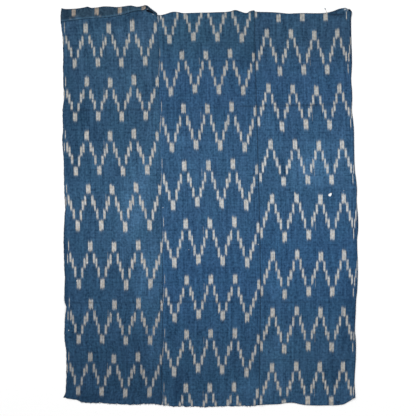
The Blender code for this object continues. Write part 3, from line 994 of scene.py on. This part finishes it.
def makeWidth(spec, kasuri, weave):
    width = Width(spec)
    material = cottonMaterial(spec, kasuri, weave)
    piece = addPiece(spec["name"], sheetMesh(width), material)
    solid = piece.modifiers.new("Thickness", "SOLIDIFY")
    solid.thickness, solid.offset = cloth["thickness"] * mm, 0.0
    low, high = at(spec["left"], 0.0), at(spec["right"], 0.0)
    found = [hole for hole in holes if low < hole[0] < high]
    plugs = cutHoles(piece, found) if found else None
    mesh = evaluated(piece)
    piece.modifiers.clear()
    piece.data = mesh
    if plugs:
        bpy.data.objects.remove(plugs)
    piece.data.set_sharp_from_angle(angle=math.radians(50))
    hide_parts(spec["node"])
    breadth = width.breadth + cloth["allowance"] * (width.turned("left") + width.turned("right"))
    length = width.high - width.low
    for kind in spec["ends"].values():
        length += cloth.get(kind, 0.0)
    print(spec["name"], len(piece.data.polygons), "faces, cut", round(breadth), "by", round(length), "mm")
    return piece, (breadth * mm, length * mm)


fringe = {
    "seed": 7, "spacing": 1.9, "shortest": 1.0, "longest": 4.8, "radius": 0.34, "points": 5,
    "inside": 1.2,  # how far in from the cut edge a thread end starts
    "lowest": 0.36,  # height of its middle where it lies on the surface
}


def strandCurve(name, strands, radius=fringe["radius"], taper=0.5):
    # thin tubes through the given points, as one mesh
    curve = bpy.data.curves.new(name, "CURVE")
    curve.dimensions, curve.use_fill_caps = "3D", True
    curve.bevel_depth, curve.bevel_resolution = radius * mm, 0
    for points in strands:
        spline = curve.splines.new("POLY")
        spline.points.add(len(points) - 1)
        for i, (point, place) in enumerate(zip(spline.points, points)):
            point.co = (*[mm * value for value in place], 1.0)
            point.radius = 1.0 - taper * i / len(points)
    holder = newObject(name, curve)
    mesh = evaluated(holder)
    bpy.data.objects.remove(holder)
    mesh.name = name
    return mesh


def bottomStrands(draw, table, first, last):
    # ends of warp left along a cut edge
    strands, x, inside = [], first, fringe["inside"]
    while x < last:
        x += fringe["spacing"] * draw.uniform(0.4, 1.7)
        reach = draw.uniform(fringe["shortest"], fringe["longest"]) * draw.choice([0.5, 0.8, 1.0])
        lean, start = draw.uniform(-0.9, 0.9), at(table, x)
        strands.append([
            (x + lean * reach * t * t, start + inside - (reach + inside) * t,
             max(fringe["lowest"], 0.75 * (1 - t) + 0.3 * lean * t * t))
            for t in (i / (fringe["points"] - 1) for i in range(fringe["points"]))
        ])
    return strands


def threadMaterial(name, colours):
    material, shader = newMaterial(name)
    place = Wire(material.node_tree.nodes.new("ShaderNodeTexCoord").outputs["Object"])
    tone = noiseNode(place, 260.0)
    connect(mixColour(smoothStep(tone, 0.35, 0.65), *colours), shader["Base Color"])
    connect(smoothStep(tone, 0.2, 0.8, 0.8, 0.95), shader["Roughness"])
    connect(bumped(noiseNode(place, 2500.0, 1.0), 0.0001), shader["Normal"])
    return material


def camera():
    view = {"millimetresPerPixel": 3.34, "pixels": 416, "middle": (-5.3, -5.5), "height": 4200.0}
    data = bpy.data.cameras.new("camera")
    data.sensor_width = 36.0
    data.lens = data.sensor_width * view["height"] / (view["millimetresPerPixel"] * view["pixels"])
    holder = newObject("camera", data)
    holder.location = [mm * value for value in (*view["middle"], view["height"])]
    bpy.context.scene.camera = holder


def studio():
    lamps = {  # place, size, strength
        "key": ((-1.6, 3.2, 3.0), 2.2, 120.0),
        "fill": ((2.4, -1.6, 3.4), 3.0, 34.0),
    }
    for name, (place, size, power) in lamps.items():
        data = bpy.data.lights.new(name, "AREA")
        data.shape, data.size, data.energy = "DISK", size, power
        holder = newObject(name, data)
        holder.location = place
        holder.rotation_euler = (-Vector(place)).to_track_quat("-Z", "Y").to_euler()
    world = bpy.data.worlds.new("studio")
    world.use_nodes = True
    backdrop = world.node_tree.nodes["Background"].inputs
    backdrop["Color"].default_value, backdrop["Strength"].default_value = (1.0, 1.0, 1.0, 1.0), 0.75
    bpy.context.scene.world = world
    bpy.context.scene.view_settings.view_transform = "Standard"


def floor():
    shape = bmesh.new()
    bmesh.ops.create_grid(shape, x_segments=1, y_segments=1, size=6.0)
    mesh = finished(shape, "floor")
    material, shader = newMaterial("floorPaper")
    shader["Base Color"].default_value = (0.88, 0.88, 0.88, 1.0)
    shader["Roughness"].default_value = 0.95
    shader["Specular IOR Level"].default_value = 0.1
    mesh.materials.append(material)
    ground = newObject("floor", mesh)
    ground.location = (0.0, 0.0, -0.0002)  # a hair below the cloth


camera()
studio()
floor()
print("camera, light and floor made")

kasuri, weave = kasuriGroup(), weaveGroup()
made = {spec["name"]: makeWidth(spec, kasuri, weave) for spec in (leftWidth, middleWidth, rightWidth)}
print("three widths made")

draw = random.Random(fringe["seed"])
indigoThread = threadMaterial("indigoThread", ((0.03, 0.075, 0.13, 1.0), (0.07, 0.13, 0.19, 1.0)))
paleThread = threadMaterial("paleThread", ((0.45, 0.42, 0.37, 1.0), (0.62, 0.60, 0.56, 1.0)))
ends = {
    "warpEndsLeft": (bottomStrands(draw, bottomLeft, -440, -165), "indigo_left", "clothLeft"),
    "warpEndsMiddle": (bottomStrands(draw, bottomMiddle, -156, 160), "indigo_middle", "clothMiddle"),
}
attached = {"clothLeft": [], "clothMiddle": [], "clothRight": []}
for name, (strands, slotName, owner) in ends.items():
    attached[owner].append(addPiece(name, strandCurve(name, strands), indigoThread))

# A thread end that came out of the right width's top hem, with its knot
looseThread = [
    (391.5, 641, 1.4), (391, 645, 2.6), (390, 649, 2.4), (389, 653, 1.7), (387.8, 656.5, 1.2),
    (386, 659.5, 1),
]
knot = [(386.8, 657.6, 1.7), (386, 659.2, 1.8), (385.2, 660.6, 1.8), (384.6, 661.8, 1.6)]
attached["clothRight"] += [
    addPiece("looseThread", strandCurve("looseThread", [looseThread], 0.8, 0.3), paleThread),
    addPiece("threadKnot", strandCurve("threadKnot", [knot], 1.6, 0.3), indigoThread),
]
print("loose threads made")
